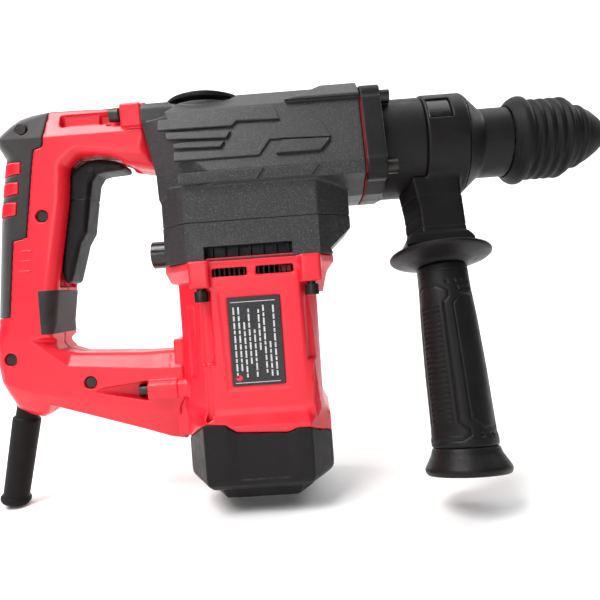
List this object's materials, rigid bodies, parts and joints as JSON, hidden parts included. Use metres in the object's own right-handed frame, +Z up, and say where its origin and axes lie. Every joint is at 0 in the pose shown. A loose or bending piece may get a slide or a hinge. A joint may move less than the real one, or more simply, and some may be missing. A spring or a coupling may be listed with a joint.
{
  "type": "rotary hammer",
  "caption": "Corded rotary hammer with an upright motor below the gear housing, a closed rear grip, a quick-change chuck and a swivelling side handle.",
  "frame": {"origin": "centre of the flat foot of the motor cap, on the motor axis, in the plane the machine stands on", "axes": "+Z up along the motor axis; +X forwards, along the spindle to the chuck; +Y to the machine's left side"},
  "size_m": [0.425, 0.1234, 0.2702],
  "materials": {
    "black_casting": "textured matt black paint on an aluminium casting",
    "red_shell": "satin red moulded plastic",
    "black_plastic": "fine grained black plastic",
    "black_rubber": "soft dull rubber",
    "red_gasket": "thin red sealing gasket",
    "zinc_steel": "zinc plated screws",
    "steel": "ground steel",
    "plate": "dark printed plate",
    "copper": "enamelled copper windings and commutator",
    "laminations": "stacked laminations",
    "carbon": "carbon"
  },
  "bodies": {
    "machine": {"gear_housing": "black_casting", "gearbox_base": "black_casting", "front_gasket": "red_gasket", "front_cover": "black_casting", "front_cover_screws": "zinc_steel", "motor_housing": "red_shell", "motor_cap": "black_plastic", "motor_housing_screws": "zinc_steel", "rating_plate": "plate", "field_core": "laminations", "field_coils": "copper", "armature_bearings": "steel", "bearing_bracket": "black_plastic", "brushes": "carbon", "brush_holders": "black_plastic", "bearing_plate": "steel", "rear_bearing": "steel", "front_bearing": "steel", "oil_seal": "black_rubber", "handle_shell_right": "red_shell", "handle_shell_left": "red_shell", "rear_grip_rubber_right": "black_rubber", "rear_grip_rubber_left": "black_rubber", "trigger_pin": "steel", "switch_body": "black_plastic", "grip_pads": "black_rubber", "handle_screws": "zinc_steel", "shell_screws": "zinc_steel", "cable_clamp": "black_plastic", "cord_guard": "black_rubber"},
    "armature": {"fan": "black_plastic", "armature_core": "laminations", "armature_windings": "copper", "commutator": "copper", "armature_shaft": "steel"},
    "crank": {"crank_gear": "steel", "crank_web": "steel"},
    "layshaft": {"intermediate_gear": "steel", "bevel_pinion": "steel"},
    "spindle": {"ring_gear": "steel", "cylinder": "steel", "tool_holder": "steel", "locking_balls": "steel", "nose_cap": "black_rubber", "sleeve_spring": "steel"},
    "chuck_sleeve": {"chuck_sleeve": "black_rubber"},
    "piston": {"piston": "steel", "wrist_pin": "steel"},
    "connecting_rod": {"connecting_rod": "steel"},
    "striker": {"striker": "steel"},
    "impact_bolt": {"impact_bolt": "steel"},
    "mode_knob": {"mode_knob": "black_plastic"},
    "rear_knob": {"rear_knob": "black_plastic"},
    "trigger": {"trigger": "black_plastic"},
    "aux_clamp": {"aux_clamp": "black_plastic", "clamp_band": "zinc_steel", "aux_stud": "zinc_steel"},
    "aux_grip": {"aux_flange": "black_plastic", "aux_grip": "black_plastic", "aux_butt": "black_plastic"}
  },
  "joints": [
    {"name": "spindle_spin", "type": "hinge", "parent": "machine", "child": "spindle", "pos_m": [0.1, 0, 0.218], "axis": [1, 0, 0], "continuous": true},
    {"name": "layshaft_spin", "type": "hinge", "parent": "machine", "child": "layshaft", "pos_m": [0.026, 0, 0.175], "axis": [0, 0, 1], "continuous": true},
    {"name": "armature_spin", "type": "hinge", "parent": "machine", "child": "armature", "pos_m": [0, 0, 0.09], "axis": [0, 0, 1], "continuous": true},
    {"name": "crank_spin", "type": "hinge", "parent": "machine", "child": "crank", "pos_m": [-0.022, 0, 0.175], "axis": [0, 0, 1], "continuous": true},
    {"name": "piston_slide", "type": "slide", "parent": "machine", "child": "piston", "axis": [1, 0, 0], "range_m": [0, 0.024]},
    {"name": "rod_swing", "type": "hinge", "parent": "piston", "child": "connecting_rod", "pos_m": [0.014, 0, 0.218], "axis": [0, 0, 1], "range_deg": [-14, 14]},
    {"name": "striker_slide", "type": "slide", "parent": "spindle", "child": "striker", "axis": [1, 0, 0], "range_m": [0, 0.0075]},
    {"name": "impact_bolt_slide", "type": "slide", "parent": "spindle", "child": "impact_bolt", "axis": [1, 0, 0], "range_m": [0, 0.012]},
    {"name": "sleeve_pull", "type": "slide", "parent": "spindle", "child": "chuck_sleeve", "axis": [-1, 0, 0], "range_m": [0, 0.008], "stiffness_N_per_m": 900, "springref_m": -0.012, "deforming": ["sleeve_spring"]},
    {"name": "mode_select", "type": "hinge", "parent": "machine", "child": "mode_knob", "pos_m": [-0.022, 0, 0.258], "axis": [0, 0, 1], "range_deg": [-90, 90]},
    {"name": "rear_select", "type": "hinge", "parent": "machine", "child": "rear_knob", "pos_m": [-0.055, 0, 0.1589], "axis": [1, 0, 0], "range_deg": [0, 90]},
    {"name": "trigger_pull", "type": "hinge", "parent": "machine", "child": "trigger", "pos_m": [-0.1, 0, 0.218], "axis": [0, 1, 0], "range_deg": [0, 6], "stiffness_Nm_per_rad": 2, "springref_deg": -8.59},
    {"name": "aux_swivel", "type": "hinge", "parent": "machine", "child": "aux_clamp", "pos_m": [0.1242, 0, 0.218], "axis": [1, 0, 0], "continuous": true},
    {"name": "aux_grip_twist", "type": "hinge", "parent": "aux_clamp", "child": "aux_grip", "pos_m": [0.1242, -0.01957, 0.14394], "axis": [0, -0.2554, -0.9668], "continuous": true}
  ],
  "couplings": [
    {"joint": "layshaft_spin", "follows": "spindle_spin", "ratio": 4},
    {"joint": "armature_spin", "follows": "spindle_spin", "ratio": -22},
    {"joint": "crank_spin", "follows": "spindle_spin", "ratio": 4.8889}
  ]
}
